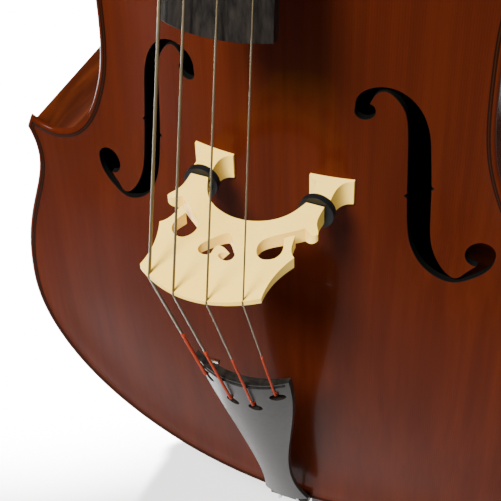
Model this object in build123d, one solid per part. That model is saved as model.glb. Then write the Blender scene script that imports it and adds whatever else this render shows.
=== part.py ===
"""Three-quarter size double bass, modelled piece by piece.

Frame: millimetres, +Z up, the player's side (strings, bridge, f-holes) faces -Y, +X to the right seen from
the front. The origin is the middle of the endpin ferrule's flat foot.
"""
from build123d import *
import math
import os

# ---------------------------------------------------------------- driving dimensions
BODY_BOTTOM = 150.0          # height of the body's lower edge above the floor
BODY_LENGTH = 1120.0
RIB_DEPTH = 190.0
PLATE = 7.0                  # thickness of the top and back plates
TOP_RISE = 37.4              # arching of the top above its edge
BACK_RISE = 40.0
OVERHANG = 4.5               # plate edge beyond the ribs
RIB_T = 2.4
LINING_T = 7.0
LINING_H = 16.0

BRIDGE_HEIGHT_ON_BODY = 540.0    # bridge line above the body's lower edge
BRIDGE_H = 168.0                 # crown above the feet
STRING_RADII = {"E": 1.3, "A": 1.05, "D": 0.85, "G": 0.7}
STRINGS = ("E", "A", "D", "G")
NUT_SPACING = 11.0
STRING_LENGTH = 1050.0

BOARD_LENGTH = 850.0
BOARD_NUT_WIDTH = 43.0
BOARD_END_WIDTH = 92.0
BOARD_NUT_R = 70.0
BOARD_END_R = 80.0
BOARD_NUT_T = 13.0
BOARD_END_T = 24.0
STRING_SLOPE = 0.2149            # fall of the strings towards the nut, in depth per height

PEGBOX_TILT = 20.0               # degrees the pegbox leans back
WORM_TEETH = 24

# ---------------------------------------------------------------- places worked out from them
FRONT = -RIB_DEPTH / 2                     # where the ribs meet the top
BACK = RIB_DEPTH / 2
TOP_EDGE_Y = FRONT - PLATE
BRIDGE_Y = TOP_EDGE_Y - TOP_RISE           # the plane under the bridge's feet
BRIDGE_Z = BODY_BOTTOM + BRIDGE_HEIGHT_ON_BODY
GLUE = 0.06                                # gap that keeps the arched plates off the ribs
BODY_TOP = BODY_BOTTOM + BODY_LENGTH
NUT_Z = BRIDGE_Z + STRING_LENGTH
NUT_STRING_Y = BRIDGE_Y - BRIDGE_H + STRING_SLOPE * STRING_LENGTH
BOARD_LEAN = math.atan(0.2069)
ALONG = Vector(0, -math.sin(BOARD_LEAN), -math.cos(BOARD_LEAN))      # from the nut down the board
OUTWARD = Vector(0, -math.cos(BOARD_LEAN), math.sin(BOARD_LEAN))     # from the board to the strings
NUT_POINT = Vector(0, NUT_STRING_Y + 2.4, NUT_Z)                     # board surface at the nut

# Right half of the body outline, from the bottom centre to the neck: cubic curves and corner ends.
OUTLINE = [
    [(0, 0), (184, 0), (322, 128), (322, 260)],
    [(322, 260), (322, 385), (264, 425), (290.5, 488)],
    [(290.5, 488), (284, 503)],
    [(284, 503), (253.5, 481), (224.5, 494.6), (206.5, 541)],
    [(206.5, 541), (190.1, 583.3), (188, 610), (188, 680)],
    [(188, 680), (188, 735), (194, 762), (206, 787)],
    [(206, 787), (213.7, 803), (224, 812), (241, 799)],
    [(241, 799), (246, 813)],
    [(246, 813), (228, 842), (258, 870), (258, 925)],
    [(258, 925), (258, 1000), (190, 1050), (130, 1078)],
    [(130, 1078), (90, 1096.7), (36, 1098), (32, 1120)],
]
# Half width of the arched part of the plates, by height on the body.
ARCH_HALF_WIDTH = [
    (-20, 120), (56, 200), (130, 278), (260, 316), (380, 294), (470, 235), (540, 198), (620, 185),
    (700, 185), (780, 200), (850, 234), (925, 251), (1000, 224), (1060, 155), (1140, 70),
]


def hermite(pairs, t):
    """Smooth curve through (place, value) pairs."""
    if t <= pairs[0][0]:
        return pairs[0][1]
    if t >= pairs[-1][0]:
        return pairs[-1][1]
    i = max(k for k in range(len(pairs) - 1) if pairs[k][0] <= t)

    def slope(k):
        a, b = pairs[max(k - 1, 0)], pairs[min(k + 1, len(pairs) - 1)]
        return (b[1] - a[1]) / (b[0] - a[0])

    (x0, y0), (x1, y1) = pairs[i], pairs[i + 1]
    h = x1 - x0
    s = (t - x0) / h
    return (
        y0 * (1 + 2 * s) * (1 - s) ** 2
        + slope(i) * h * s * (1 - s) ** 2
        + y1 * s * s * (3 - 2 * s)
        - slope(i + 1) * h * s * s * (1 - s)
    )


def arch(x, height, rise):
    """Height of the arching at x, at a height on the body."""
    across = min(abs(x) / hermite(ARCH_HALF_WIDTH, height), 1.0)
    middle = BODY_LENGTH / 2
    lengthwise = min(abs(height - middle) / (middle - 8.0), 1.0)
    across = (1 + math.cos(math.pi * across**1.5)) / 2
    return rise * across * (1 + math.cos(math.pi * lengthwise**2)) / 2


# ---------------------------------------------------------------- helpers
def save(name, *solids):
    """One STEP file for a node, from one or more separate solids."""
    found = []
    for s in solids:
        found += list(s.solids())
    shape = found[0] if len(found) == 1 else Compound(children=found)
    export_step(shape, f"parts/{name}.step")


def mirrored(shape):
    return shape.mirror(Plane.YZ)


def box(x0, x1, y0, y1, z0, z1):
    return Solid.make_box(x1 - x0, y1 - y0, z1 - z0, Plane((x0, y0, z0)))


def rod(start, end, radius):
    """Cylinder between two points."""
    a, b = Vector(*start), Vector(*end)
    return Solid.make_cylinder(radius, (b - a).length, Plane(origin=a, z_dir=b - a))


def wire_through(points, radius, bend=4.0):
    """Round wire with rounded bends through a list of points."""
    places = [Vector(*p) for p in points]
    path = FilletPolyline(*places, radius=bend) if len(places) > 2 else Polyline(*places)
    circle = Face(Wire.make_circle(radius, Plane(origin=places[0], z_dir=places[1] - places[0])))
    return Solid.sweep(circle, path.wire() if len(places) > 2 else Wire(path.edges()))


def curve(points):
    vectors = [Vector(*p) for p in points]
    return Edge.make_line(*vectors) if len(vectors) == 2 else Edge.make_spline(vectors)


def face_of(edges):
    return Face(Wire(edges))


def polygon(points):
    return Face(Wire.make_polygon([Vector(*p) for p in points], close=True))


def prism(face, *direction):
    return Solid.extrude(face, Vector(*direction))


def loft(faces, ruled=False):
    return Solid.make_loft([f.outer_wire() for f in faces], ruled)


def plan_prism(points, y0=FRONT, y1=BACK):
    """Prism through the body's depth from (x, height on the body) points."""
    return prism(polygon([(x, y0, BODY_BOTTOM + h) for x, h in points]), 0, y1 - y0, 0)


# ---------------------------------------------------------------- the body outline
def turned(a, b):
    """Unit vector to the left of the way from a to b."""
    dx, dz = b[0] - a[0], b[1] - a[1]
    n = math.hypot(dx, dz)
    return (-dz / n, dx / n)


def inset_outline(d):
    """The outline curves moved inwards by d."""
    starts = [turned(c[0], c[1]) for c in OUTLINE] + [(0.0, -1.0)]
    ends = [(0.0, 1.0)] + [turned(c[-2], c[-1]) for c in OUTLINE]
    corners = [c[0] for c in OUTLINE] + [OUTLINE[-1][-1]]
    moved = []
    for p, a, b in zip(corners, ends, starts):
        k = d / (1 + a[0] * b[0] + a[1] * b[1])
        moved.append((p[0] + k * (a[0] + b[0]), p[1] + k * (a[1] + b[1])))
    curves = []
    for c, p, q in zip(OUTLINE, moved, moved[1:]):
        f = math.dist(p, q) / math.dist(c[0], c[-1])
        handles = []
        if len(c) == 4:
            handles.append((p[0] + f * (c[1][0] - c[0][0]), p[1] + f * (c[1][1] - c[0][1])))
            handles.append((q[0] + f * (c[2][0] - c[3][0]), q[1] + f * (c[2][1] - c[3][1])))
        curves.append([p] + handles + [q])
    return curves


def curve_edges(curves, y):
    edges = []
    for c in curves:
        points = [Vector(x, y, BODY_BOTTOM + h) for x, h in c]
        edges.append(Edge.make_line(*points) if len(points) == 2 else Edge.make_bezier(*points))
    return edges


def outline_face(inset, y):
    """Face inside the body outline, drawn in by inset."""
    curves = inset_outline(inset)
    right = curve_edges(curves, y)
    left = [e.mirror(Plane.YZ) for e in right]
    x, h = curves[-1][-1]
    return face_of(right + [curve([(x, y, BODY_BOTTOM + h), (-x, y, BODY_BOTTOM + h)])] + left)


def outline_prism(inset, y0, y1):
    return prism(outline_face(inset, y0), 0, y1 - y0, 0)


def arch_face(rise, y_edge, sign):
    """The arched surface as one spline face, a little larger than the body."""
    xs = [-344 + 688 * i / 40 for i in range(41)]
    hs = [-14 + (BODY_LENGTH + 28) * j / 64 for j in range(65)]
    grid = [[Vector(x, y_edge + sign * arch(x, h, rise), BODY_BOTTOM + h) for x in xs] for h in hs]
    return Face.make_surface_from_array_of_points(grid, tol=0.05, min_deg=3, max_deg=5)


def lining_strip(start, stop, y0, y1):
    """Band inside the ribs along some of the outline curves, right side."""
    outer = inset_outline(OVERHANG + RIB_T)[start:stop]
    edges = curve_edges(outer, y0)
    d = OVERHANG + RIB_T + LINING_T
    back = []
    first = turned(*OUTLINE[start][:2])
    p = (OUTLINE[start][0][0] + d * first[0], OUTLINE[start][0][1] + d * first[1])
    for c in OUTLINE[start:stop]:
        b = turned(c[-2], c[-1])
        q = (c[-1][0] + d * b[0], c[-1][1] + d * b[1])
        f = math.dist(p, q) / math.dist(c[0], c[-1])
        handle_p = (p[0] + f * (c[1][0] - c[0][0]), p[1] + f * (c[1][1] - c[0][1]))
        handle_q = (q[0] + f * (c[2][0] - c[3][0]), q[1] + f * (c[2][1] - c[3][1]))
        back.append([p, handle_p, handle_q, q])
        p = q
    inner_edges = curve_edges(back, y0)
    a, b = outer[0][0], back[0][0]
    c, d = outer[-1][-1], back[-1][-1]
    ends = [
        curve([(a[0], y0, BODY_BOTTOM + a[1]), (b[0], y0, BODY_BOTTOM + b[1])]),
        curve([(c[0], y0, BODY_BOTTOM + c[1]), (d[0], y0, BODY_BOTTOM + d[1])]),
    ]
    return prism(face_of(edges + ends + inner_edges), 0, y1 - y0, 0)


# ---------------------------------------------------------------- frames of the neck and pegbox
def board_point(s, x=0.0, v=0.0):
    """Point on the fingerboard: s down from the nut, x across, v above its crown line."""
    return NUT_POINT + ALONG * s + OUTWARD * v + Vector(x, 0, 0)


PEGBOX_UP = Vector(0, math.sin(math.radians(PEGBOX_TILT)), math.cos(math.radians(PEGBOX_TILT)))
PEGBOX = Location(Plane(origin=board_point(-8), x_dir=(1, 0, 0), z_dir=PEGBOX_UP))


def in_pegbox(x, depth, up):
    """Point given in the pegbox: across, back from the strings, up from the nut."""
    return (PEGBOX * Location((x, depth, up))).position


# ---------------------------------------------------------------- plates
F_OUTER = [
    (75.6, 91.5), (76.2, 99.9), (79.8, 106.9), (86, 111.5), (94, 113.8), (102.2, 113.2), (110.3, 109.8),
    (118.5, 103), (125.4, 94.2), (130.8, 84), (134.3, 73.6), (136.7, 63), (138.3, 49), (140.2, 27), (142, 5.5),
    (143.2, -14), (144.9, -38), (147.2, -53), (150.5, -64), (155, -74), (160, -82), (165.8, -88.5),
    (171.8, -92), (177, -90.2), (182.5, -84), (190, -76.9),
]
F_INNER = [
    (205, -63), (203.8, -72.3), (200, -80), (193.5, -86.5), (186.5, -91), (179, -94.7), (172, -96.2),
    (164.5, -95), (156, -91), (147.5, -84.5), (140, -76), (134, -65.5), (129.5, -54), (127, -43),
    (125.2, -30), (123.8, -14), (122.5, 5), (121.5, 27), (120.5, 48), (119.6, 65), (118.2, 79),
    (115.8, 89.5), (111, 99.1), (105.1, 106.7), (99.4, 110.4), (95.3, 109.8), (90.9, 106.2), (86.9, 97.2),
]
F_EYES = [((83.5, 88.8), 8.4), ((191.8, -63.3), 13.3)]
F_NICKS = [((141.2, 6.5), (144.4, 6.5)), ((123.8, -1.5), (120.2, -1.5))]


def f_hole():
    """Cutter for the f-hole on the G side."""
    y0, y1 = -160.0, -80.0

    def at(points):
        return [(x, y0, BRIDGE_Z + z) for x, z in points]

    edges = [curve(at(F_OUTER)), curve(at([F_OUTER[-1], F_INNER[0]]))]
    edges += [curve(at(F_INNER)), curve(at([F_INNER[-1], F_OUTER[0]]))]
    cutter = prism(face_of(edges), 0, y1 - y0, 0)
    for (x, z), radius in F_EYES:
        cutter = cutter + rod((x, y0, BRIDGE_Z + z), (x, y1, BRIDGE_Z + z), radius)
    for (x0, z), (x1, _) in F_NICKS:
        cutter = cutter + prism(polygon(at([(x0, z - 2.2), (x1, z), (x0, z + 2.2)])), 0, y1 - y0, 0)
    return cutter


def saddle_block():
    return box(-24, 24, TOP_EDGE_Y - 9, FRONT, BODY_BOTTOM, BODY_BOTTOM + 12)


def neck_root():
    """The part of the neck let into the body."""
    return box(-28, 28, -175, BACK, BODY_TOP - 34, BODY_TOP + 2)


def top_plate():
    slab = prism(arch_face(TOP_RISE, TOP_EDGE_Y - GLUE, -1), 0, PLATE, 0)
    plate = slab & outline_prism(0, -200, 0)
    hole = f_hole()
    return plate - hole - mirrored(hole) - saddle_block() - neck_root()


def back_plate():
    slab = prism(arch_face(BACK_RISE, BACK + PLATE + GLUE, 1), 0, -PLATE, 0)
    plate = slab & outline_prism(0, 0, 200)
    button = box(-22, 22, BACK + GLUE, BACK + PLATE, BODY_TOP - 4, BODY_TOP + 8)
    button = button + rod((0, BACK + GLUE, BODY_TOP + 8), (0, BACK + PLATE, BODY_TOP + 8), 22)
    return plate + button


# ---------------------------------------------------------------- ribs, linings and blocks
C_REGION = [(303.85, 512), (268.85, 477), (150, 462), (150, 850), (214.9, 834.4), (259.9, 789.4)]
LOWER_CORNER = [(300, 430), (300, 520), (205, 520), (235, 462), (262, 425)]
UPPER_CORNER = [(262, 770), (262, 870), (236, 866), (185, 797), (183, 770)]


def ribs():
    ring = outline_prism(OVERHANG, FRONT, BACK) - outline_prism(OVERHANG + RIB_T, FRONT - 1, BACK + 1)
    ring = ring - neck_root() - plug_cutter()
    middle = ring & plan_prism(C_REGION, FRONT - 1, BACK + 1)
    rest = ring - plan_prism(C_REGION, FRONT - 1, BACK + 1)
    lower = rest & box(0, 400, -100, 100, 0, 800)
    upper = rest & box(0, 400, -100, 100, 800, 1400)
    return lower, middle, upper


def inner_space():
    return outline_prism(OVERHANG + RIB_T, FRONT, BACK)


def corner_blocks():
    inside = inner_space()
    right = [inside & plan_prism(LOWER_CORNER), inside & plan_prism(UPPER_CORNER)]
    return right + [mirrored(b) for b in right]


def upper_block():
    return (box(-78, 78, FRONT, BACK, BODY_TOP - 66, BODY_TOP) & inner_space()) - neck_root()


def lower_block():
    return (box(-66, 66, FRONT, BACK, BODY_BOTTOM, BODY_BOTTOM + 44) & inner_space()) - plug_cutter()


def linings(y0, y1):
    cutters = [plan_prism(LOWER_CORNER), plan_prism(UPPER_CORNER)]
    cutters += [box(-66, 66, FRONT, BACK, BODY_BOTTOM, BODY_BOTTOM + 44)]
    cutters += [box(-78, 78, FRONT, BACK, BODY_TOP - 66, BODY_TOP)]
    inside = inner_space()
    strips = []
    for start, stop in ((0, 2), (3, 7), (8, 11)):
        strip = lining_strip(start, stop, y0, y1) & inside
        for cutter in cutters:
            strip = strip - cutter
        strips.append(max(strip.solids(), key=lambda s: s.volume))
    return strips + [mirrored(s) for s in strips]


def outside_top():
    """Everything in front of the top's inner surface."""
    return prism(arch_face(TOP_RISE, TOP_EDGE_Y + PLATE, -1), 0, -60, 0)


def bass_bar():
    side = [(-150, 400), (-150, 1110), (-113, 1110), (-103, 1000), (-100, 755), (-103, 520), (-113, 400)]
    bar = prism(polygon([(-60, y, z) for y, z in side]), 18, 0, 0)
    return bar - outside_top()


def sound_post():
    post = rod((60, -150, 665), (60, 150, 665), 9)
    outside_back = prism(arch_face(BACK_RISE, BACK, 1), 0, 60, 0)
    return post - outside_top() - outside_back


# ---------------------------------------------------------------- neck, scroll, fingerboard, nut
def d_section(place, half_front, half_back, near, far):
    """Neck section: rounded at 'near', open-ended at 'far', drawn in a local frame (x, depth)."""
    flat = near + 0.45 * half_back
    points = [(-half_front, far), (half_front, far), (half_back, flat)]
    tip = [(half_back, flat), (half_back * 0.95, near + 1), (half_back * 0.45, near), (0, near)]
    edges = [curve([place(*points[0]), place(*points[1])]), curve([place(*points[1]), place(*points[2])])]
    edges.append(Edge.make_bezier(*[place(x, d) for x, d in tip]))
    edges.append(Edge.make_bezier(*[place(-x, d) for x, d in reversed(tip)]))
    edges.append(curve([place(-half_back, flat), place(*points[0])]))
    return face_of(edges)


def shaft():
    sections = []
    for z, half, thick in ((NUT_Z + 12, 21.5, 27), (1580, 25, 29), (1400, 29.5, 34)):
        front = NUT_POINT.Y - 0.2069 * (NUT_Z - z)
        thick += 14 + 11 * (NUT_Z - z) / BOARD_LENGTH

        def place(x, d, z=z, back=front + thick):
            return Vector(x, back - d, z)

        sections.append(d_section(place, half, half, 0, thick + 30))
    return loft(sections)


HEEL_PIVOT = (100.0, 1400.0)
HEEL = ((0, 197.4, 29.5), (14, 186, 28.5), (28, 163, 27), (44, 134, 25), (68, 108, 23), (90, 100, 22))


def heel():
    sections = []
    for angle, near, half_back in HEEL:
        c, s = math.cos(math.radians(angle)), math.sin(math.radians(angle))

        def place(x, d, c=c, s=s):
            return Vector(x, HEEL_PIVOT[0] - d * c, HEEL_PIVOT[1] - d * s)

        sections.append(d_section(place, 30, half_back, near, 360))
    return loft(sections)


def volute_face(x, start, turns, first, shrink, centre):
    """Spiral region of the scroll as a face at x, in the pegbox frame."""
    points = []
    for i in range(49):
        turn = start + turns * i / 48
        r = first * math.exp(-shrink * (turn - start))
        a = 2 * math.pi * turn
        points.append((x, centre[0] + r * math.cos(a), centre[1] + r * math.sin(a)))
    return face_of([curve(points), curve([points[-1], points[0]])])


SCROLL_CENTRE = (22.0, 226.0)


def scroll():
    layers = [(19, 0.0, 1.0, 46, 0.62), (24, 0.5, 1.0, 33, 0.62), (28, 1.0, 1.0, 23, 0.6)]
    shape = None
    for half, start, turns, first, shrink in layers:
        face = volute_face(-half, start, turns, first, shrink, SCROLL_CENTRE)
        layer = prism(face, 2 * half, 0, 0)
        shape = layer if shape is None else shape + layer
    eye = rod((-33, *SCROLL_CENTRE), (33, *SCROLL_CENTRE), 8)
    return shape + eye


PEGBOX_HALF = 24.0
WALL = 9.5
ROLLERS = {"E": 42.0, "G": 70.0, "A": 114.0, "D": 142.0}
ROLLER_DEPTH = 24.0
ROLLER_R = 8.0
JOURNAL_R = 5.5
PLATE_T = 2.0
GEAR_X = PEGBOX_HALF + PLATE_T + 8.0
SCREW_PLACES = ((-14, -10), (-14, 10), (34, -12.5), (34, 12.5))


def pegbox():
    def section(up, half, front, back):
        return polygon([(-half, front, up), (half, front, up), (half, back, up), (-half, back, up)])

    lower = loft([section(-14, 21.5, 6, 40), section(18, PEGBOX_HALF, 6, 50)], True)
    middle = loft([section(18, PEGBOX_HALF, 6, 50), section(182, PEGBOX_HALF, 6, 48)], True)
    upper = loft([section(182, PEGBOX_HALF, 6, 48), section(205, 19, 12, 62)], True)
    inner = PEGBOX_HALF - WALL
    cavity = box(-inner, inner, -10, 39, 8, 176)
    return (lower + middle + upper - cavity) + scroll()


def board_space():
    """Room for the fingerboard and the nut in front of the neck."""
    corners = [board_point(-8, -60, 40), board_point(-8, -60, -BOARD_NUT_T)]
    corners += [board_point(0, -60, -BOARD_NUT_T), board_point(BOARD_LENGTH, -60, -BOARD_END_T)]
    corners.append(board_point(BOARD_LENGTH, -60, 40))
    return prism(polygon(corners), 120, 0, 0)


def neck():
    shape = shaft() + heel() + neck_root()
    front_low = board_point(BOARD_LENGTH, 0, -BOARD_END_T)
    front_high = board_point(-60, 0, -BOARD_NUT_T + (BOARD_END_T - BOARD_NUT_T) * 60 / BOARD_LENGTH)
    y = -500
    before = [(-60, front_low.Y, front_low.Z), (-60, front_high.Y, front_high.Z)]
    before += [(-60, y, front_high.Z), (-60, y, front_low.Z)]
    shape = shape - prism(polygon(before), 120, 0, 0)
    shape = shape - box(-60, 60, BACK, 300, 1000, 1500) - box(-60, 60, -400, 300, 600, BODY_TOP - 34)
    beside = box(28, 60, -400, 300, 1000, BODY_TOP) + box(-60, -28, -400, 300, 1000, BODY_TOP)
    shape = shape - beside
    shape = shape + PEGBOX * pegbox() - board_space()
    for name, up in ROLLERS.items():
        near = 1 if name in "GD" else -1
        shape = shape - PEGBOX * rod((-40, ROLLER_DEPTH, up), (40, ROLLER_DEPTH, up), JOURNAL_R + 0.1)
        for du, dd in SCREW_PLACES:
            x0, x1 = near * (PEGBOX_HALF - 7), near * (PEGBOX_HALF + 1)
            y, z = ROLLER_DEPTH + dd, up + du
            shape = shape - PEGBOX * rod((x0, y, z), (x1, y, z), 1.32)
    return shape


def board_face(s, width, radius, thickness, rise=0.0):
    half = width / 2
    side = rise - radius + math.sqrt(radius**2 - half**2)
    arc = [board_point(s, -half, side), board_point(s, 0, rise), board_point(s, half, side)]
    low = [board_point(s, half, -thickness), board_point(s, -half, -thickness)]
    edges = [Edge.make_three_point_arc(*arc), Edge.make_line(arc[2], low[0])]
    return face_of(edges + [Edge.make_line(*low), Edge.make_line(low[1], arc[0])])


def fingerboard():
    near = board_face(0, BOARD_NUT_WIDTH, BOARD_NUT_R, BOARD_NUT_T)
    far = board_face(BOARD_LENGTH, BOARD_END_WIDTH, BOARD_END_R, BOARD_END_T)
    return loft([near, far], True)


def nut():
    shape = prism(board_face(0, BOARD_NUT_WIDTH, BOARD_NUT_R, BOARD_NUT_T, 3.0), *(ALONG * -8))
    for name in STRINGS:
        radius = STRING_RADII[name] + 0.03
        bridge_end, at_nut, off_nut, coil = string_points(name)[1:5]
        under = [at_nut + (bridge_end - at_nut) * 0.03, at_nut, off_nut, off_nut + (coil - off_nut) * 0.3]
        side = [(at_nut.X - radius, p.Y + 1.12 * radius, p.Z) for p in under]
        side += [(at_nut.X - radius, p.Y - 25, p.Z) for p in (under[-1], under[0])]
        shape = shape - prism(polygon(side), 2 * radius, 0, 0)
    return shape


# ---------------------------------------------------------------- strings
# Across, height above the bridge's feet, distance from the bridge line towards the nut.
NOTCHES = {"E": (-47.1, 156.4, -3.9), "A": (-19.2, 168.0, -3.9), "D": (11.1, 167.5, -3.9), "G": (39.1, 156.9, -3.9)}
TAIL_X = {"E": -36.6, "A": -12.2, "D": 12.2, "G": 36.6}
TAIL_H = {"E": 87.9, "A": 96.7, "D": 96.7, "G": 87.9}
TAIL_BEND = {"E": -195.0, "A": -221.0, "D": -221.0, "G": -195.0}
SILK_START = {"E": -107.4, "A": -112.6, "D": -113.2, "G": -104.6}
SILK_T = 0.35
COIL_X = {"E": -6.0, "A": -2.0, "D": 2.0, "G": 6.0}


def at_bridge(x, h, z):
    return Vector(x, BRIDGE_Y - h, BRIDGE_Z + z)


def after_point(name, z):
    """Point of a string between the bridge and the tailpiece."""
    x0, h0, z0 = NOTCHES[name]
    t = (z - z0) / (-202 - z0)
    return at_bridge(x0 + t * (TAIL_X[name] - x0), h0 + t * (TAIL_H[name] - h0), z)


def string_points(name):
    x = NUT_SPACING * (STRINGS.index(name) - 1.5)
    radius = STRING_RADII[name]
    drop = BOARD_NUT_R - math.sqrt(BOARD_NUT_R**2 - x**2)
    at_nut = board_point(-1, x, 2.4 - drop)
    off_nut = board_point(-7, x, 1.4 - drop)
    return [after_point(name, SILK_START[name]), at_bridge(*NOTCHES[name]), at_nut, off_nut] + coil_points(name)


def coil_points(name):
    """Two and a bit turns round the string's roller, in steps of 30 degrees."""
    radius = STRING_RADII[name]
    reach = (ROLLER_R + radius + 0.06) / math.cos(math.radians(15))
    side = 1 if COIL_X[name] > 0 else -1
    points = []
    for i in range(29):
        a = math.radians(30 * i - 15)
        x = COIL_X[name] + side * i * 2.3 * radius / 12
        points.append(in_pegbox(x, ROLLER_DEPTH - reach * math.cos(a), ROLLERS[name] + reach * math.sin(a)))
    return points


def string(name):
    return wire_through(string_points(name), STRING_RADII[name])


def bend_points(name):
    """Where the silk turns down through the tailpiece, and the top of its ball end."""
    bend = after_point(name, TAIL_BEND[name])
    return bend, bend + Vector(0, 16.5, -4)


def silk(name):
    bend, low = bend_points(name)
    return wire_through([after_point(name, SILK_START[name]), bend, low], STRING_RADII[name] + SILK_T)


def ball_end(name):
    _, low = bend_points(name)
    centre = low + Vector(0, 4.35, -1)
    shape = rod(centre - Vector(4.5, 0, 0), centre + Vector(4.5, 0, 0), 3.4)
    for i in range(4):
        x = -4.5 + 2.4 * i
        shape = shape + rod(centre + Vector(x, 0, 0), centre + Vector(x + 1.4, 0, 0), 4.0)
    return shape - wire_through([*bend_points(name)], STRING_RADII[name] + SILK_T + 0.02)


# ---------------------------------------------------------------- tailpiece and its wire
TAIL_TOP = -175.0
TAIL_SLOPE = 0.345
TAIL_SECTIONS = (
    (0.0, 49.0, 18.0, 7.0, 10.6), (45.0, 47.0, 16.5, 6.8, 10.4),
    (120.0, 36.5, 11.5, 6.2, 9.8), (338.0, 27.5, 7.0, 5.5, 9.0),
)
KEYHOLES = {"E": (-189.5, -204.0), "A": (-215.5, -231.0), "D": (-215.5, -231.0), "G": (-189.5, -204.0)}


def tail_crown(z):
    return 104.2 + TAIL_SLOPE * (z - TAIL_TOP)


def tail_section(run, half, camber, edge, middle):
    z = TAIL_TOP - run
    crown = tail_crown(z)
    top = [at_bridge(-half, crown - camber, z), at_bridge(0, crown, z), at_bridge(half, crown - camber, z)]
    low_edge = crown - camber - edge
    low = [at_bridge(half, low_edge, z), at_bridge(0, crown - middle, z), at_bridge(-half, low_edge, z)]
    edges = [Edge.make_three_point_arc(*top), Edge.make_line(top[2], low[0])]
    return face_of(edges + [Edge.make_three_point_arc(*low), Edge.make_line(low[2], top[0])])


def tailpiece():
    shape = loft([tail_section(*s) for s in TAIL_SECTIONS])
    for name, (start, hole) in KEYHOLES.items():
        x = TAIL_X[name]
        z0, z1 = BRIDGE_Z + hole, BRIDGE_Z + start
        shape = shape - box(x - 2.5, x + 2.5, -300, -150, z0, z1)
        shape = shape - rod((x, -300, z0), (x, -150, z0), 7.2)
    for x in (-WIRE_X, WIRE_X):
        shape = shape - rod(tail_wire_point(x, -17), tail_wire_point(x, 30), WIRE_R + 0.3)
    return shape - fret_blank()


def fret_blank():
    """Bar let into the tailpiece across its wide end."""
    z = -181.0
    crown = tail_crown(z)

    def arc(rise):
        return [at_bridge(-46, crown - 15.9 + rise, z), at_bridge(0, crown + rise, z), at_bridge(46, crown - 15.9 + rise, z)]

    high, low = arc(1.5), arc(-2.0)
    edges = [Edge.make_three_point_arc(*high), Edge.make_line(high[2], low[2])]
    edges += [Edge.make_three_point_arc(*low), Edge.make_line(low[0], high[0])]
    return prism(face_of(edges), 0, 0, 2.2)


def tailpiece_fret():
    shape = fret_blank()
    for name in STRINGS:
        bend, _ = bend_points(name)
        start = after_point(name, SILK_START[name])
        shape = shape - rod(start, bend, STRING_RADII[name] + SILK_T + 0.02)
    return max(shape.solids(), key=lambda s: s.volume)


WIRE_R = 1.6
WIRE_X = 9.0
GROOVE_R = 14.0
GROOVE_Z = BODY_BOTTOM - 6.0


def tail_wire_point(x, up):
    z = TAIL_TOP - 338.0 + 18.0 - up
    return at_bridge(x, tail_crown(z) - 5.5, z)


def tail_wire():
    """Loop from the tailpiece over the saddle and round the endpin's plug."""
    r = GROOVE_R + WIRE_R + 0.05
    saddle_y = TOP_EDGE_Y - 9 - WIRE_R - 0.05
    right = [
        tail_wire_point(WIRE_X, -16),
        tail_wire_point(WIRE_X, 20),
        Vector(11, saddle_y, BODY_BOTTOM + 11),
        Vector(12, saddle_y, BODY_BOTTOM - 1),
        Vector(13, saddle_y + 8, GROOVE_Z),
        Vector(r, 0, GROOVE_Z),
    ]
    side = wire_through(right, WIRE_R)
    loop = Solid.make_torus(r, WIRE_R, Plane((0, 0, GROOVE_Z))) & box(-30, 30, 0, 30, 0, 200)
    return side + mirrored(side) + loop


def saddle():
    block = saddle_block()
    edges = [e for e in block.edges() if abs(e.center().Y - (TOP_EDGE_Y - 9)) < 0.1 and e.length > 40]
    return block.fillet(4.0, edges)


# ---------------------------------------------------------------- endpin
ROD_R = 5.0
PLUG_R = 13.0


def plug_cutter():
    return rod((0, 0, BODY_BOTTOM - 10), (0, 0, BODY_BOTTOM + 60), PLUG_R + 0.01)


def turned_solid(profile):
    """Solid of revolution about the endpin axis from (radius, z) points."""
    face = polygon([(r, 0, z) for r, z in profile])
    return Solid.revolve(face, 360, Axis.Z)


def endpin_plug():
    z = BODY_BOTTOM
    profile = [
        (ROD_R + 0.15, z - 32), (17, z - 32), (19, z - 29), (19.5, z - 13), (GROOVE_R, z - 9.5),
        (GROOVE_R, z - 2.5), (20, z), (20, z + OVERHANG), (PLUG_R, z + OVERHANG), (PLUG_R, z + 46),
        (ROD_R + 0.15, z + 46),
    ]
    return turned_solid(profile)


def endpin_collar():
    z = BODY_BOTTOM - 32
    profile = [(ROD_R + 0.15, z - 16), (11.5, z - 16), (12.5, z - 15), (12.5, z), (ROD_R + 0.15, z)]
    return turned_solid(profile) - rod((0, 0, z - 8), (0, -30, z - 8), 3.05)


def endpin_thumb_screw():
    z = BODY_BOTTOM - 40
    screw = rod((0, -ROD_R - 0.05, z), (0, -20, z), 3.0)
    screw = screw + rod((0, -20, z), (0, -23, z), 5.0)
    wing = [(4, -21), (10, -26), (13, -33), (9, -38), (0, -36), (-9, -38), (-13, -33), (-10, -26), (-4, -21)]
    return screw + prism(polygon([(x, y, z - 1.8) for x, y in wing]), 0, 0, 3.6)


def endpin_rod():
    return rod((0, 0, 6), (0, 0, 432), ROD_R)


def endpin_ferrule():
    profile = [(0, 0), (11, 0), (12, 2), (12, 9), (8.5, 26), (ROD_R, 26), (ROD_R, 6), (0, 6)]
    return turned_solid(profile)


# ---------------------------------------------------------------- bridge
POST_X = 55.8
POST_R = 3.0
DISC_R = 16.6
FOOT_TOP = 27.5
DISC_TOP = 34.3
LEG_BOTTOM = 35.3
LEAN = -0.03                     # the bridge's top leans a little towards the E side
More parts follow.
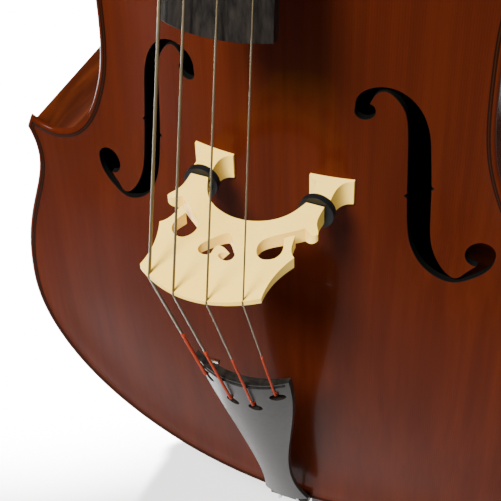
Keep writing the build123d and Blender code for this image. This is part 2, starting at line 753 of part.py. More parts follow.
# Half of the bridge's outline, as (across, height) points between its corners.
BRIDGE_SIDE = [
    [(0, 169.2), (14.4, 167.9), (29, 163.8), (43.3, 157.2), (55.6, 149.2)],
    [(55.6, 149.2), (54.7, 138), (55.6, 124), (58.6, 111), (63, 99)],
    [(63, 99), (58.8, 94.5), (55.6, 86), (53.8, 74.8)],
    [(53.8, 74.8), (50.6, 77), (46.4, 81.2)],
    [(46.4, 81.2), (48.8, 88), (50.6, 94.5), (50.2, 100.5), (47.4, 105.6), (43, 108.5), (38, 109.4),
     (33, 106.8), (29.7, 101.2), (28.8, 95), (30.8, 88.6), (36.5, 82.2), (44.3, 76), (50.5, 71.2), (58.5, 63.9)],
    [(58.5, 63.9), (61.8, 66.6), (65.3, 69.2), (68.6, 69.8), (71.4, 67.2)],
    [(71.4, 67.2), (69.8, 63.4), (67.2, 59), (65.3, 54.5), (64.3, 49), (64.1, 43), (64.1, 35.3)],
    [(64.1, 35.3), (47.2, 35.3)],
    [(47.2, 35.3), (44.3, 43), (39.6, 52.5), (33.4, 60), (25.6, 66), (17.6, 69.8), (8.5, 72.4), (0, 73)],
]
# The hole through the waist, with a tongue that turns towards the G side.
HEART = [
    [(-1.7, 91.2), (-5.4, 93.4), (-9.6, 97.7), (-13.9, 102.9), (-17.8, 108.1), (-20, 112.7), (-19.9, 116.9),
     (-17.8, 119.7), (-14.3, 121), (-10.2, 120.3), (-7.3, 117.6)],
    [(-7.3, 117.6), (-7.2, 113.9), (-7, 110.2), (-5.2, 107.4)],
    [(-5.2, 107.4), (-1.6, 107.5), (3.2, 109.6), (8, 112.9)],
    [(8, 112.9), (4, 112.8), (0.8, 114.2), (-0.7, 116.8), (0.6, 119.4), (4.2, 121.2), (8.5, 121.2),
     (11.6, 118.8), (12.8, 113.5), (10.8, 107.6), (5.8, 100.3), (0.9, 93.6), (-1.7, 91.2)],
]
# Height, and place of the bridge's face towards the nut.
BRIDGE_FRONT = [(-20, 15.2), (35, 10.5), (101, 5), (140, 1.7), (165, -0.1), (190, -1.5)]


def leaning(x, h, z):
    return at_bridge(x + LEAN * (h - LEG_BOTTOM), h, z)


def bridge_outline(z):
    right = [curve([leaning(x, h, z) for x, h in part]) for part in BRIDGE_SIDE]
    left = [curve([leaning(-x, h, z) for x, h in reversed(part)]) for part in BRIDGE_SIDE]
    return face_of(right + left)


def bridge_slab():
    """Curved towards the nut, flat towards the tailpiece, thin at the crown."""
    front = [at_bridge(-100, h, z) for h, z in BRIDGE_FRONT]
    back = [at_bridge(-100, 190, -3.3), at_bridge(-100, -20, -10.3)]
    edges = [curve(front), curve([front[-1], back[0]]), curve(back), curve([back[1], front[0]])]
    return prism(face_of(edges), 200, 0, 0)


def foot_slab():
    corners = [(-20, 14.4), (60, 8.8), (60, -10.4), (-20, -13.9)]
    return prism(polygon([at_bridge(-100, h, z) for h, z in corners]), 200, 0, 0)


def back_bevel(corners, h0, h1):
    """Cutter over a height range from (across, place) corners."""
    return prism(polygon([at_bridge(x, h0, z) for x, z in corners]), 0, h0 - h1, 0)


def post_bore(side, h0, h1):
    return rod(at_bridge(side * POST_X, h0, 0), at_bridge(side * POST_X, h1, 0), POST_R + 0.08)


def bridge():
    shape = prism(bridge_outline(-30), 0, 0, 60) & bridge_slab()
    heart = face_of([curve([at_bridge(x, h, -30) for x, h in part]) for part in HEART])
    shape = shape - prism(heart, 0, 0, 60)
    shape = shape - back_bevel([(0.5, -12), (0.5, -5.8), (8.6, 4.8), (8.6, -12)], 106, 117)
    for side in (-1, 1):
        spur = [(57.5, -12), (57.5, -8.2), (72.5, 1.4), (80, 1.4), (80, -12)]
        shape = shape - back_bevel([(side * x, z) for x, z in spur], 52, 82)
        shape = shape - post_bore(side, 20, 59)
    for name in STRINGS:
        radius = STRING_RADII[name] + 0.02
        x, h, z = NOTCHES[name]
        shape = shape - wire_through(string_points(name)[:3], radius)
        top = at_bridge(x, h, 0).Y
        shape = shape - box(x - radius, x + radius, top - 20, top, BRIDGE_Z - 20, BRIDGE_Z + 20)
    return shape


def bridge_foot():
    inner = [(37.3, 2.2), (43.8, 5.5), (47.6, 16), (47, FOOT_TOP)]
    outer = [(66.5, FOOT_TOP), (66.3, 14), (70, 2.5), (77.9, -2.6)]
    parts = [inner, [inner[-1], outer[0]], outer, [outer[-1], (77.9, -14)], [(77.9, -14), (37.3, -14)]]
    parts.append([(37.3, -14), inner[0]])
    edges = [curve([at_bridge(x, h, -20) for x, h in part]) for part in parts]
    foot = prism(face_of(edges), 0, 0, 40) & foot_slab()
    under = prism(arch_face(TOP_RISE, TOP_EDGE_Y - GLUE - 0.02, -1), 0, 30, 0)
    return foot - under - post_bore(1, 10, 40)


def adjuster():
    """Wheel with its screw going up into the leg and a pin going down into the foot."""
    disc = rod(at_bridge(POST_X, FOOT_TOP, 0), at_bridge(POST_X, DISC_TOP, 0), DISC_R)
    return disc + rod(at_bridge(POST_X, 11, 0), at_bridge(POST_X, 55, 0), POST_R)


# ---------------------------------------------------------------- tuning machines, G side, at height 0
PITCH = math.pi * 2 * 15.0 / WORM_TEETH
WORM_ROOT, WORM_TIP = 3.6, 6.1
WORM_UP = 20.0
WORM_STEPS = 16
WORM_HALF_LENGTH = 10.5


def machine_plate():
    x0, x1 = PEGBOX_HALF, PEGBOX_HALF + PLATE_T
    d = ROLLER_DEPTH
    shape = box(x0, x1, d - 16, d + 16, -18, 38)
    for y0, y1 in ((d - 15.5, d - 11.2), (d + 11.2, d + 15.5)):
        shape = shape + box(x1, GEAR_X + 7, y0, y1, WORM_UP - 5.2, WORM_UP + 8)
    shape = shape - rod((GEAR_X, d - 20, WORM_UP), (GEAR_X, d + 20, WORM_UP), 3.2)
    shape = shape - rod((x0 - 1, d, 0), (x1 + 1, d, 0), JOURNAL_R + 0.1)
    for du, dd in SCREW_PLACES:
        shape = shape - rod((x0 - 1, d + dd, du), (x1 + 1, d + dd, du), 1.32)
    return shape


def machine_screws():
    screws = []
    for du, dd in SCREW_PLACES:
        y = ROLLER_DEPTH + dd
        shank = rod((PEGBOX_HALF - 6, y, du), (PEGBOX_HALF + PLATE_T, y, du), 1.3)
        x = PEGBOX_HALF + PLATE_T
        screws.append(shank + rod((x, y, du), (x + 1.1, y, du), 2.6))
    return screws


def gear():
    """Straight-toothed wheel; one tooth points up at the worm."""
    points = []
    for k in range(WORM_TEETH):
        middle = math.pi / 2 + 2 * math.pi * k / WORM_TEETH
        for offset, radius in ((-1.15, 13.6), (-0.35, 16.1), (0.35, 16.1), (1.15, 13.6)):
            a = middle + offset / 15.0
            points.append((GEAR_X - 3, ROLLER_DEPTH + radius * math.cos(a), radius * math.sin(a)))
    return prism(polygon(points), 6, 0, 0)


def barrel():
    """Wheel, hub and string roller in one piece."""
    d = ROLLER_DEPTH
    inner = PEGBOX_HALF - WALL - 0.2
    shape = gear() + rod((-PEGBOX_HALF + 1, d, 0), (GEAR_X - 3, d, 0), JOURNAL_R)
    shape = shape + rod((-inner, d, 0), (inner, d, 0), ROLLER_R)
    return shape + rod((PEGBOX_HALF + PLATE_T + 0.1, d, 0), (GEAR_X + 5, d, 0), 7.5)


def worm_thread():
    """Faceted single-start worm as a closed shell of triangles, along the depth axis."""
    profile = [(-1.15, WORM_ROOT), (-0.4, WORM_TIP), (0.4, WORM_TIP), (1.15, WORM_ROOT)]

    def vertex(p, k):
        along = profile[p][0] + PITCH * k / WORM_STEPS
        radius = profile[p][1]
        if abs(along) >= WORM_HALF_LENGTH:
            along = math.copysign(WORM_HALF_LENGTH, along)
            radius = WORM_ROOT
        a = 2 * math.pi * (k % WORM_STEPS) / WORM_STEPS
        x = GEAR_X + radius * math.sin(a)
        return (round(x, 5), round(ROLLER_DEPTH + along, 5), round(WORM_UP + radius * math.cos(a), 5))

    reach = int(WORM_STEPS * (WORM_HALF_LENGTH / PITCH + 2))
    faces = []
    for k in range(-reach, reach):
        for p in range(4):
            q, shift = (p + 1, 0) if p < 3 else (0, WORM_STEPS)
            a, b = vertex(p, k), vertex(q, k + shift)
            c, d = vertex(q, k + shift + 1), vertex(p, k + 1)
            for triangle in ((a, b, c), (a, c, d)):
                if len(set(triangle)) == 3:
                    faces.append(polygon(triangle))
    for end in (-1, 1):
        k = end * 10 * reach
        faces.append(polygon([vertex(0, k + i) for i in range(WORM_STEPS)]))
    return Solid(Shell(faces))


def prism_rod(y0, y1, radius):
    """Many-sided shaft on the worm's axis."""
    points = []
    for i in range(WORM_STEPS):
        a = 2 * math.pi * i / WORM_STEPS
        points.append((GEAR_X + radius * math.sin(a), y0, WORM_UP + radius * math.cos(a)))
    return prism(polygon(points), 0, y1 - y0, 0)


def worm_key():
    d = ROLLER_DEPTH
    shape = worm_thread() + prism_rod(d - 17, d - WORM_HALF_LENGTH + 1, 3.0)
    shape = shape + prism_rod(d + WORM_HALF_LENGTH - 1, d + 50, 3.0) + prism_rod(d + 17, d + 20, 5.0)
    wings = [(-4, 46), (-9, 50), (-21, 52), (-24, 62), (-18, 72), (-6, 76), (6, 76), (18, 72), (24, 62), (21, 52)]
    wings.append((9, 50))
    wings.append((4, 46))
    outline = [(GEAR_X - 2.0, d + y, WORM_UP + z) for z, y in wings]
    return shape + prism(polygon(outline), 4.0, 0, 0)


# ---------------------------------------------------------------- files
def main():
    os.makedirs("parts", exist_ok=True)
    save("top_plate", top_plate())
    save("back_plate", back_plate())
    for name, part in zip(("lower", "middle", "upper"), ribs()):
        save(f"rib_{name}_right", part)
        save(f"rib_{name}_left", mirrored(part))
    save("linings_front", *linings(FRONT, FRONT + LINING_H))
    save("linings_back", *linings(BACK - LINING_H, BACK))
    save("corner_blocks", *corner_blocks())
    save("upper_block", upper_block())
    save("lower_block", lower_block())
    save("bass_bar", bass_bar())
    save("sound_post", sound_post())
    save("neck", neck())
    save("fingerboard", fingerboard())
    save("nut", nut())
    save("saddle", saddle())
    save("tailpiece", tailpiece())
    save("tailpiece_fret", tailpiece_fret())
    save("tail_wire", tail_wire())
    for name in STRINGS:
        save(f"string_{name}", string(name))
        save(f"silk_{name}", silk(name))
        save(f"ball_end_{name}", ball_end(name))
    save("bridge", bridge())
    foot = bridge_foot()
    save("bridge_foot_right", foot)
    save("bridge_foot_left", mirrored(foot))
    wheel = adjuster()
    save("adjuster_right", wheel)
    save("adjuster_left", mirrored(wheel))
    save("endpin_plug", endpin_plug())
    save("endpin_collar", endpin_collar())
    save("endpin_thumb_screw", endpin_thumb_screw())
    save("endpin_rod", endpin_rod())
    save("endpin_ferrule", endpin_ferrule())
    pieces = {"machine_plate": machine_plate(), "worm_key": worm_key(), "barrel": barrel()}
    screws = []
    for name, up in ROLLERS.items():
        for kind, shape in pieces.items():
            placed = PEGBOX * (Location((0, 0, up)) * shape)
            save(f"{kind}_{name}", placed if name in "GD" else mirrored(placed))
        for screw in machine_screws():
            placed = PEGBOX * (Location((0, 0, up)) * screw)
            screws.append(placed if name in "GD" else mirrored(placed))
    save("plate_screws", *screws)


main()
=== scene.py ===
"""Looks of the double bass: its carved plates, purfling and strings, materials, camera and light."""
import math

import bmesh
import bpy
import numpy as np
from mathutils import Matrix, Vector
from mathutils.geometry import delaunay_2d_cdt
from mathutils.kdtree import KDTree


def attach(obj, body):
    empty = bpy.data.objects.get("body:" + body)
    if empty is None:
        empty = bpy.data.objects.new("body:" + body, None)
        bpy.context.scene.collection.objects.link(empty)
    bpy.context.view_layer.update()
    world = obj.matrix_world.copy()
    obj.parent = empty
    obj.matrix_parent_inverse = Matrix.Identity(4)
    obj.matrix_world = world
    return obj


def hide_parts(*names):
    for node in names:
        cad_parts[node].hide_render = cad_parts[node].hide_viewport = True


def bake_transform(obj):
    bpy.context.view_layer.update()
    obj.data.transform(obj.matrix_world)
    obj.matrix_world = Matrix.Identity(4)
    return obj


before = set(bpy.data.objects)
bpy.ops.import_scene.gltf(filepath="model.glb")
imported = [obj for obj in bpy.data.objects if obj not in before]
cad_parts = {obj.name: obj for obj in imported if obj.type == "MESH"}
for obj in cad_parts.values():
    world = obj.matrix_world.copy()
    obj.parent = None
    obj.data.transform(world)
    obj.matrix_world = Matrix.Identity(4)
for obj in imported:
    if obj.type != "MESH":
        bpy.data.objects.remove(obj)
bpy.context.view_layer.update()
MM = 0.001

# ---------------------------------------------------------------- sizes shared with the CAD, in mm
# Outlines and f-holes are (across, up) on the body, notches (across, out, up) from the bridge's feet.
BODY_BOTTOM, BODY_LENGTH = 150.0, 1120.0
PLATE = 7.0
TOP_EDGE_Y, TOP_RISE, BACK_RISE = -102.0, 37.4, 40.0
FLAT_END = 8.0                   # flat margin at the upper and lower end of the plates
BRIDGE_Y, BRIDGE_Z = TOP_EDGE_Y - TOP_RISE, 690.0
OUTLINE = [
    [(0, 0), (184, 0), (322, 128), (322, 260)],
    [(322, 260), (322, 385), (264, 425), (290.5, 488)],
    [(290.5, 488), (284, 503)],
    [(284, 503), (253.5, 481), (224.5, 494.6), (206.5, 541)],
    [(206.5, 541), (190.1, 583.3), (188, 610), (188, 680)],
    [(188, 680), (188, 735), (194, 762), (206, 787)],
    [(206, 787), (213.7, 803), (224, 812), (241, 799)],
    [(241, 799), (246, 813)],
    [(246, 813), (228, 842), (258, 870), (258, 925)],
    [(258, 925), (258, 1000), (190, 1050), (130, 1078)],
    [(130, 1078), (90, 1096.7), (36, 1098), (32, 1120)],
]
ARCH_HALF_WIDTH = [
    (-20, 120), (56, 200), (130, 278), (260, 316), (380, 294), (470, 235), (540, 198), (620, 185),
    (700, 185), (780, 200), (850, 234), (925, 251), (1000, 224), (1060, 155), (1140, 70),
]
F_OUTER = [
    (75.6, 91.5), (76.2, 99.9), (79.8, 106.9), (86, 111.5), (94, 113.8), (102.2, 113.2), (110.3, 109.8),
    (118.5, 103), (125.4, 94.2), (130.8, 84), (134.3, 73.6), (136.7, 63), (138.3, 49), (140.2, 27),
    (142, 5.5), (143.2, -14), (144.9, -38), (147.2, -53), (150.5, -64), (155, -74), (160, -82),
    (165.8, -88.5), (171.8, -92), (177, -90.2), (182.5, -84), (190, -76.9),
]
F_INNER = [
    (205, -63), (203.8, -72.3), (200, -80), (193.5, -86.5), (186.5, -91), (179, -94.7), (172, -96.2),
    (164.5, -95), (156, -91), (147.5, -84.5), (140, -76), (134, -65.5), (129.5, -54), (127, -43),
    (125.2, -30), (123.8, -14), (122.5, 5), (121.5, 27), (120.5, 48), (119.6, 65), (118.2, 79),
    (115.8, 89.5), (111, 99.1), (105.1, 106.7), (99.4, 110.4), (95.3, 109.8), (90.9, 106.2),
    (86.9, 97.2),
]
F_EYES = [((83.5, 88.8), 8.4), ((191.8, -63.3), 13.3)]
F_NICKS = [((141.2, 6.5), (144.4, 6.5)), ((123.8, -1.5), (120.2, -1.5))]
STRINGS = "EADG"
RADII = {"E": 1.3, "A": 1.05, "D": 0.85, "G": 0.7}
NOTCHES = {
    "E": (-47.1, 156.4, -3.9), "A": (-19.2, 168.0, -3.9), "D": (11.1, 167.5, -3.9), "G": (39.1, 156.9, -3.9),
}
TAIL_Z = -202.0                  # height at which TAIL_X and TAIL_H give a string's place
TAIL_X = {"E": -36.6, "A": -12.2, "D": 12.2, "G": 36.6}
TAIL_H = {"E": 87.9, "A": 96.7, "D": 96.7, "G": 87.9}
TAIL_BEND = {"E": -195.0, "A": -221.0, "D": -221.0, "G": -195.0}
SILK_START = {"E": -107.4, "A": -112.6, "D": -113.2, "G": -104.6}
STRING_BEND = 4.0
SILK_T = 0.35                    # thickness of the silk on the string
SILK_TAIL = (0, 16.5, -4)        # run of the silk through the tailpiece
NUT_SPACING, NUT_R = 11.0, 70.0
ROLLER_R, ROLLER_DEPTH, WIND_GAP = 8.0, 24.0, 0.06
WIND_FROM, WIND_STEP, WIND_STEPS, WIND_PITCH = -15, 30, 29, 2.3
ROLLERS = {"E": 42.0, "G": 70.0, "A": 114.0, "D": 142.0}
COIL_X = {"E": -6.0, "A": -2.0, "D": 2.0, "G": 6.0}
BRIDGE_H, STRING_LENGTH, STRING_SLOPE = 168.0, 1050.0, 0.2149
BOARD_LEAN, PEGBOX_TILT = math.atan(0.2069), math.radians(20)
ALONG = np.array((0.0, -math.sin(BOARD_LEAN), -math.cos(BOARD_LEAN)))       # down the fingerboard
OUTWARD = np.array((0.0, ALONG[2], -ALONG[1]))                              # from it to the strings
NUT_LIFT = 2.4
NUT_Y = BRIDGE_Y - BRIDGE_H + STRING_SLOPE * STRING_LENGTH + NUT_LIFT
NUT_POINT = np.array((0.0, NUT_Y, BRIDGE_Z + STRING_LENGTH))
PEGBOX_IN = np.array((0.0, math.cos(PEGBOX_TILT), -math.sin(PEGBOX_TILT)))
PEGBOX_UP = np.array((0.0, math.sin(PEGBOX_TILT), math.cos(PEGBOX_TILT)))

# ---------------------------------------------------------------- sizes of the finer meshes, in mm
EDGE_ROUND = 3.2                 # reach of the plates' rounded edge
ROUND_STEPS = [(0.0, 1.0), (0.08, 0.62), (0.29, 0.29), (0.62, 0.08), (1.0, 0.0)]
CHANNEL_DEPTH, CHANNEL_AT, CHANNEL_WIDTH = 0.9, 12.0, 6.0
INNER_BEVEL = 1.5
HOLE_CHAMFER, HOLE_SHORT = 0.5, 0.2
NICK_REACH, NICK_HALF = 3.3, 2.2
INLAY = (4.0, 5.4, 6.4, 7.8)     # insets of the purfling's strips
INLAY_LIFT = 0.12
BUTTON_R, BUTTON_ROOT, BUTTON_RISE = 22.0, 12.0, 8.0
BUTTON_STEPS = ((0.0, PLATE), (0.0, 1.2), (0.35, 0.35), (1.2, 0.0))
OUTLINE_STEP = 4.0
FINE_GRID, FINE_MARGIN = 8.0, 3.5
INNER_GRID, INNER_MARGIN = 14.0, 6.0
CORNER_REACH = 20.0              # length by which offset bouts run on to be trimmed
SHARP_ANGLE = math.radians(40)


def hermite(pairs, t):
    """Smooth curve through (place, value) pairs, for an array of places."""
    xs, ys = (np.array(v, float) for v in zip(*pairs))
    slopes = np.empty_like(ys)
    slopes[1:-1] = (ys[2:] - ys[:-2]) / (xs[2:] - xs[:-2])
    slopes[0], slopes[-1] = (ys[1] - ys[0]) / (xs[1] - xs[0]), (ys[-1] - ys[-2]) / (xs[-1] - xs[-2])
    t = np.clip(np.asarray(t, float), xs[0], xs[-1])
    i = np.clip(np.searchsorted(xs, t, side="right") - 1, 0, len(xs) - 2)
    h = xs[i + 1] - xs[i]
    s = (t - xs[i]) / h
    return (
        ys[i] * (1 + 2 * s) * (1 - s) ** 2
        + slopes[i] * h * s * (1 - s) ** 2
        + ys[i + 1] * s * s * (3 - 2 * s)
        - slopes[i + 1] * h * s * s * (1 - s)
    )


def arch(x, h, rise):
    """Height of the arching above the plate's edge, at x across and h up the body."""
    x, h = np.asarray(x, float), np.asarray(h, float)
    across = np.minimum(np.abs(x) / hermite(ARCH_HALF_WIDTH, h), 1.0)
    middle = BODY_LENGTH / 2
    along = np.minimum(np.abs(h - middle) / (middle - FLAT_END), 1.0)
    return rise * (1 + np.cos(math.pi * across**1.5)) / 2 * (1 + np.cos(math.pi * along**2)) / 2


# ---------------------------------------------------------------- node materials
class Graph:
    """Short-hand for building one material's nodes."""

    def __init__(self, name):
        self.material = bpy.data.materials.new(name)
        self.material.use_nodes = True
        self.tree = self.material.node_tree
        self.tree.nodes.clear()
        self.out = self.tree.nodes.new("ShaderNodeOutputMaterial")
        self.shader = self.tree.nodes.new("ShaderNodeBsdfPrincipled")
        self.link(self.shader.outputs[0], self.out.inputs["Surface"])

    def link(self, a, b):
        self.tree.links.new(a, b)

    def node(self, kind, inputs=None, **settings):
        n = self.tree.nodes.new("ShaderNode" + kind)
        for k, v in settings.items():
            setattr(n, k, v)
        for k, v in (inputs or {}).items():
            if isinstance(v, bpy.types.NodeSocket):
                self.link(v, n.inputs[k])
            else:
                n.inputs[k].default_value = v
        return n

    def put(self, **values):
        """Sets or links inputs of the shader."""
        for k, v in values.items():
            socket = self.shader.inputs[k.replace("_", " ")]
            if isinstance(v, bpy.types.NodeSocket):
                self.link(v, socket)
            else:
                socket.default_value = v

    def place(self, scale=(1, 1, 1), kind="Object"):
        coordinates = self.node("TexCoord").outputs[kind]
        return self.node("Mapping", {"Vector": coordinates, "Scale": scale}).outputs[0]

    def noise(self, vector, scale=1.0, detail=3.0, rough=0.5, distortion=0.0):
        n = self.node("TexNoise", {"Vector": vector, "Scale": scale, "Detail": detail, "Roughness": rough,
                                   "Distortion": distortion})
        return n.outputs["Fac"]

    def ramp(self, fac, *stops):
        n = self.node("ValToRGB", {"Fac": fac})
        while len(n.color_ramp.elements) < len(stops):
            n.color_ramp.elements.new(0.5)
        for element, (at, colour) in zip(n.color_ramp.elements, stops):
            element.position = at
            element.color = (*colour, 1)
        return n.outputs["Color"]

    def mix(self, fac, a, b):
        """Colour between a and b; a colour mix takes them at its inputs 6 and 7."""
        n = self.node("Mix", data_type="RGBA")
        for socket, v in ((n.inputs["Factor"], fac), (n.inputs[6], a), (n.inputs[7], b)):
            if isinstance(v, bpy.types.NodeSocket):
                self.link(v, socket)
            else:
                socket.default_value = v if isinstance(v, float) else (*v, 1)
        return n.outputs[2]

    def math(self, operation, a, b):
        n = self.node("Math", operation=operation)
        for socket, v in zip(n.inputs, (a, b)):
            if isinstance(v, bpy.types.NodeSocket):
                self.link(v, socket)
            else:
                socket.default_value = v
        return n.outputs[0]

    def bump(self, height, strength, distance, edge=0.0):
        """Fine relief, with edges that look rounded by edge metres."""
        inputs = {"Height": height, "Strength": strength, "Distance": distance}
        if edge:
            inputs["Normal"] = self.node("Bevel", {"Radius": edge}, samples=4).outputs[0]
        self.put(Normal=self.node("Bump", inputs).outputs[0])

    def span(self, value, low, high):
        """value, from 0 to 1, spread over low to high."""
        return self.node("MapRange", {"Value": value, "To Min": low, "To Max": high}).outputs[0]


def grey(v):
    return (v, v, v)


def spruce(name):
    """Red-brown gloss varnish over straight spruce grain that runs up the body."""
    g = Graph(name)
    warp = g.noise(g.place((9, 9, 0.8)), 1.0, 2.0)
    aside = g.node("CombineXYZ", {"X": g.math("MULTIPLY", warp, 0.02)})
    bent = g.node("VectorMath", {0: g.place(), 1: aside.outputs[0]})
    lines = g.node("TexWave", {"Vector": bent.outputs[0], "Scale": 150.0, "Distortion": 1.2, "Detail": 2.0,
                               "Detail Scale": 0.6}, bands_direction="X").outputs["Fac"]
    streaks = g.noise(g.place((210, 210, 3.5)), 1.0, 4.0, 0.6)
    cloud = g.noise(g.place((5, 5, 2.2)), 1.0, 3.0)
    base = g.ramp(cloud, (0.3, (0.044, 0.0066, 0.0020)), (0.7, (0.062, 0.0096, 0.0028)))
    late = g.mix(g.span(lines, 0.0, 0.30), base, (0.023, 0.0034, 0.0010))
    bands = g.ramp(g.noise(g.place((42, 42, 0.8)), 1.0, 3.0, 0.6), (0.38, grey(0.0)), (0.66, grey(1.0)))
    late = g.mix(g.math("MULTIPLY", bands, 0.35), late, (0.100, 0.0168, 0.0040))
    tone = g.mix(g.span(streaks, 0.0, 0.7), late, (0.027, 0.0042, 0.0011))
    g.put(Base_Color=tone, Roughness=g.span(g.noise(g.place((30, 30, 30))), 0.16, 0.27))
    g.put(Coat_Weight=0.03, Coat_Roughness=0.03, Specular_IOR_Level=0.02)
    fine = g.math("ADD", g.math("MULTIPLY", lines, 0.6), g.noise(g.place((900, 900, 60)), 1.0, 2.0))
    g.bump(fine, 0.10, 0.0002)
    return g.material


def maple(name, across="Z", tint=1.0, edge=0.0):
    """Red-brown varnish over flamed maple, with the flames crossing the grain."""
    g = Graph(name)
    scale = (6, 6, 60) if across == "Z" else (60, 6, 6)
    flame = g.noise(g.place(scale), 1.0, 2.0, 0.5, 0.6)
    fibre = g.noise(g.place((300, 300, 12)), 1.0, 3.0)
    dark, light = (0.034 * tint, 0.0055 * tint, 0.0012), (0.080 * tint, 0.0150 * tint, 0.003)
    base = g.ramp(flame, (0.35, dark), (0.62, light))
    tone = g.mix(g.span(fibre, 0.0, 0.45), base, (0.026 * tint, 0.0042 * tint, 0.0010))
    g.put(Base_Color=tone, Roughness=g.span(g.noise(g.place((25, 25, 25))), 0.16, 0.28))
    g.put(Coat_Weight=0.10, Coat_Roughness=0.05, Specular_IOR_Level=0.10)
    g.bump(fibre, 0.08, 0.0002, edge)
    return g.material


def bare_maple(name, edge=0.0004):
    """Unvarnished maple: pale, with short darker flecks along the grain."""
    g = Graph(name)
    grain = g.noise(g.place((26, 300, 420)), 1.0, 4.0, 0.6)
    flecks = g.noise(g.place((190, 900, 1500)), 1.0, 2.0, 0.7)
    cloud = g.noise(g.place((14, 14, 14)), 1.0, 3.0)
    base = g.ramp(cloud, (0.3, (0.87, 0.56, 0.085)), (0.7, (0.94, 0.65, 0.13)))
    toned = g.mix(g.span(grain, 0.0, 0.35), base, (0.74, 0.44, 0.06))
    mark = g.ramp(flecks, (0.60, grey(0.0)), (0.70, grey(1.0)))
    toned = g.mix(g.math("MULTIPLY", mark, 0.30), toned, (0.58, 0.32, 0.05))
    g.put(Base_Color=toned, Roughness=g.span(grain, 0.42, 0.62), Specular_IOR_Level=0.2)
    g.bump(g.math("ADD", grain, g.math("MULTIPLY", flecks, 0.5)), 0.16, 0.0002, edge)
    return g.material


def softwood(name):
    g = Graph(name)
    grain = g.noise(g.place((160, 160, 5)), 1.0, 4.0)
    g.put(Base_Color=g.ramp(grain, (0.3, (0.50, 0.34, 0.18)), (0.7, (0.68, 0.50, 0.29))))
    g.put(Roughness=g.span(grain, 0.55, 0.75))
    g.bump(grain, 0.2, 0.0004)
    return g.material


def ebony(name, edge=0.0006, rough=0.26):
    """Near-black polished wood with fine brown streaks and pores."""
    g = Graph(name)
    grain = g.noise(g.place((260, 260, 9)), 1.0, 4.0, 0.6)
    pores = g.noise(g.place((1500, 1500, 45)), 1.0, 2.0, 0.6)
    base = g.ramp(grain, (0.35, (0.006, 0.0055, 0.005)), (0.75, (0.020, 0.016, 0.013)))
    g.put(Base_Color=base, Roughness=g.span(grain, rough, rough + 0.12), Specular_IOR_Level=0.05)
    g.bump(pores, 0.12, 0.0002, edge)
    return g.material


def metal(name, colour, rough=0.3, brushed=(60, 60, 60), tarnish=None, edge=0.0003, metallic=1.0, gloss=0.5):
    """Metal with fine brushing, uneven gloss and darker tarnish in patches."""
    g = Graph(name)
    brush = g.noise(g.place(brushed), 8.0, 3.0)
    patch = g.noise(g.place((70, 70, 70)), 1.0, 4.0, 0.6)
    dull = tarnish or tuple(0.45 * c for c in colour)
    g.put(Base_Color=g.mix(g.ramp(patch, (0.45, grey(0.0)), (0.75, grey(0.6))), colour, dull))
    g.put(Metallic=metallic, Roughness=g.span(brush, rough - 0.06, rough + 0.10), Specular_IOR_Level=gloss)
    g.bump(brush, 0.08, 0.0001, edge)
    return g.material


def wound(name, colour, period, rough=0.34, metallic=1.0, depth=0.5, dark=0.35):
    """Wire or thread wound round a core: fine rings along the piece's own length, their grooves darkened as
    painted shade.
    """
    g = Graph(name)
    uv = g.place((0, 1.0, 0), "UV")
    rings = g.node("TexWave", {"Vector": uv, "Scale": 2 * math.pi / (20 * period), "Distortion": 0.0},
                   bands_direction="Y").outputs["Fac"]
    wear = g.noise(g.place((90, 90, 30)), 1.0, 3.0)
    base = g.mix(g.span(wear, 0.0, 0.6), colour, tuple(0.55 * c for c in colour))
    # Colour darkens by up to dark in the ring troughs, the grooves between the windings: painted shade.
    g.put(Base_Color=g.mix(g.span(rings, dark, 0.0), base, tuple(0.25 * c for c in colour)))
    g.put(Metallic=metallic, Roughness=g.span(wear, rough - 0.05, rough + 0.12), Specular_IOR_Level=0.15)
    g.bump(rings, depth, 0.0002)
    return g.material


def rubber(name):
    g = Graph(name)
    grain = g.noise(g.place((900, 900, 900)), 1.0, 2.0)
    g.put(Base_Color=g.ramp(grain, (0.3, grey(0.012)), (0.7, grey(0.022))), Roughness=g.span(grain, 0.6, 0.8))
    g.bump(grain, 0.2, 0.0002, 0.0005)
    return g.material


def plain(name, colour, rough):
    g = Graph(name)
    tone = g.noise(g.place((40, 40, 40)), 1.0, 3.0)
    g.put(Base_Color=g.mix(g.span(tone, 0.0, 0.4), colour, tuple(0.8 * c for c in colour)), Roughness=rough)
    g.put(Specular_IOR_Level=0.02)
    return g.material


